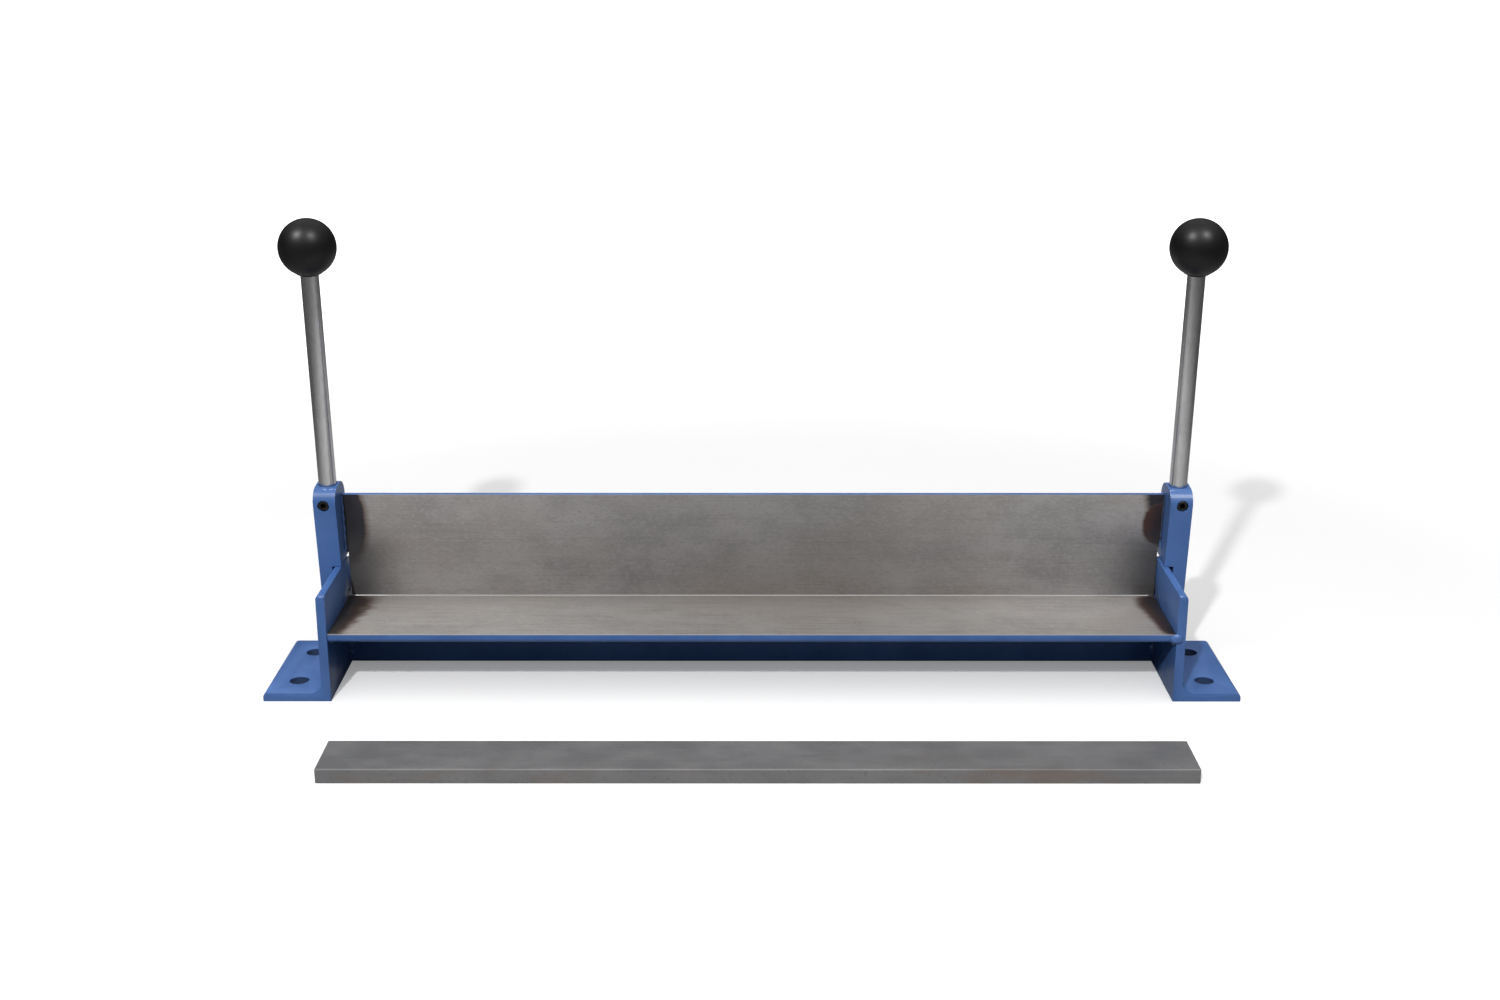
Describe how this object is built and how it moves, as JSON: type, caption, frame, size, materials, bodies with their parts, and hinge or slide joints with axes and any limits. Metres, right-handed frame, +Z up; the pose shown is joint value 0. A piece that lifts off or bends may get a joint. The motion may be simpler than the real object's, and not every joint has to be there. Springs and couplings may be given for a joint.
{
  "type": "sheet metal brake",
  "caption": "Bench-top sheet metal brake: angle-iron bed between bolt-down end brackets, bending leaf on two ball-ended levers, loose clamping bar.",
  "frame": {"origin": "under the middle of the object's bounding box, on the surface it stands on, with the leaf raised and the clamping bar lying in front", "axes": "+X along the bed to the operator's right, +Y away from the operator, +Z up"},
  "size_m": [0.547, 0.2072, 0.264],
  "materials": {
    "blue_paint": "satin blue enamel over hot-rolled steel",
    "ground_steel": "ground working face, blue enamel on the edges and backs",
    "bright_steel": "bright drawn round bar",
    "mill_steel": "dull flat bar with a trace of mill scale",
    "black_oxide": "black oxide",
    "black_plastic": "satin black phenolic",
    "brass": "turned brass"
  },
  "bodies": {
    "frame": {"bed_angle": "ground_steel", "end_bracket_left": "blue_paint", "end_bracket_right": "blue_paint", "bed_weld_left": "blue_paint", "bed_weld_right": "blue_paint", "pivot_screw_left": "black_oxide", "pivot_screw_right": "black_oxide"},
    "leaf": {"leaf_angle": "ground_steel", "arm_left": "blue_paint", "arm_right": "blue_paint", "leaf_weld_left": "blue_paint", "leaf_weld_right": "blue_paint", "leaf_back_weld_left": "blue_paint", "leaf_back_weld_right": "blue_paint", "lever_rod_left": "bright_steel", "lever_rod_right": "bright_steel", "ball_knob_left": "black_plastic", "ball_knob_right": "black_plastic", "knob_insert_left": "brass", "knob_insert_right": "brass", "rod_set_screw_left": "black_oxide", "rod_set_screw_right": "black_oxide"},
    "clamping_bar": {"clamping_bar": "mill_steel"}
  },
  "joints": [
    {"name": "leaf_hinge", "type": "hinge", "parent": "frame", "child": "leaf", "pos_m": [0, 0.0642, 0.04], "axis": [1, 0, 0], "range_deg": [-94.25, 0]},
    {"name": "clamping_bar_lift", "type": "slide", "parent": "frame", "child": "clamping_bar", "axis": [0, 0, 1], "range_m": [0, 0.12]}
  ]
}
